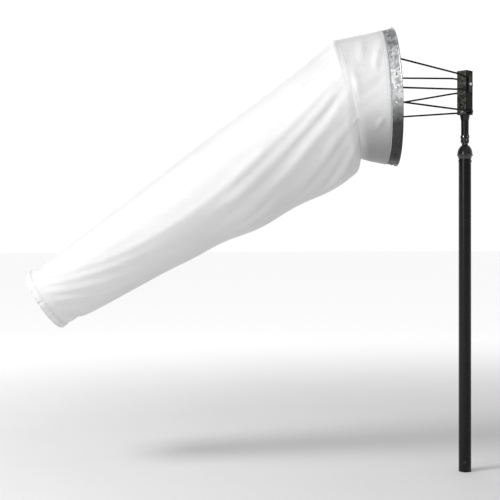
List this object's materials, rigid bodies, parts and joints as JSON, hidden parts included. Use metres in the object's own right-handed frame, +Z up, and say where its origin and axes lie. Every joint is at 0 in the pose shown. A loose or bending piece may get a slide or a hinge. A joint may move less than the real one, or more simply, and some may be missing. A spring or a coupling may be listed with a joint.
{
  "type": "windsock with pole",
  "caption": "Fabric windsock cone on a rigid metal mouth band and rod frame that swivels on top of a capped tube pole.",
  "frame": {"origin": "centre of the pole's square-cut foot", "axes": "+Z up the pole; the sock streams towards -X at rest; -Y is the near side"},
  "size_m": [1.49, 0.4571, 1.4746],
  "materials": {
    "pole_paint": "satin black powder coat",
    "cap_casting": "satin black paint on cast iron",
    "frame_paint": "satin black paint",
    "plated_steel": "zinc plated",
    "ground_steel": "ground",
    "bush_bronze": "turned",
    "band_metal": "brushed, lightly weathered",
    "hoop_steel": "galvanised",
    "sock_cloth": "coated white nylon",
    "hem_cloth": "folded and stitched hem",
    "eyelet_metal": "pressed eyelet"
  },
  "bodies": {
    "pole": {"pole_tube": "pole_paint", "post_cap": "cap_casting", "spindle_pin": "ground_steel", "thrust_ball": "ground_steel", "cap_rivets": "plated_steel"},
    "head": {"swivel_tube": "frame_paint", "lower_bush": "bush_bronze", "upper_bush": "bush_bronze", "thrust_plug": "ground_steel", "dust_collar": "frame_paint", "clamp_collar": "frame_paint", "collar_screws": "plated_steel", "neck_cone": "frame_paint", "head_box": "frame_paint", "head_base_plate": "frame_paint", "head_top_plate": "frame_paint", "mouth_band": "band_metal", "rod_shoes": "band_metal", "shoe_screws": "plated_steel", "band_rivets": "band_metal", "upper_stay_near": "frame_paint", "upper_stay_far": "frame_paint", "lower_strut_near": "frame_paint", "lower_strut_far": "frame_paint", "stay_straps": "frame_paint", "stay_spacers": "plated_steel", "stay_bolts": "plated_steel", "stay_nuts": "plated_steel", "strut_bolts": "plated_steel", "strut_washers": "plated_steel", "strut_nuts": "plated_steel", "plug_bolts": "plated_steel", "rear_hoop": "hoop_steel", "spreader_top": "hoop_steel", "spreader_bottom": "hoop_steel", "spreader_near": "hoop_steel", "spreader_far": "hoop_steel", "front_welt": "hem_cloth", "sock_cuff": "sock_cloth"},
    "tail": {"sock_tail": "sock_cloth", "tail_hem": "hem_cloth", "tail_grommets": "eyelet_metal"}
  },
  "joints": [
    {"name": "swivel", "type": "hinge", "parent": "pole", "child": "head", "pos_m": [0, 0, 1.13], "axis": [0, 0, 1], "continuous": true},
    {"name": "sock_lift", "type": "hinge", "parent": "head", "child": "tail", "pos_m": [-0.4418, 0, 1.43498], "axis": [0, 1, 0], "range_deg": [-20, 29], "stiffness_Nm_per_rad": 6, "springref_deg": 20.05}
  ]
}
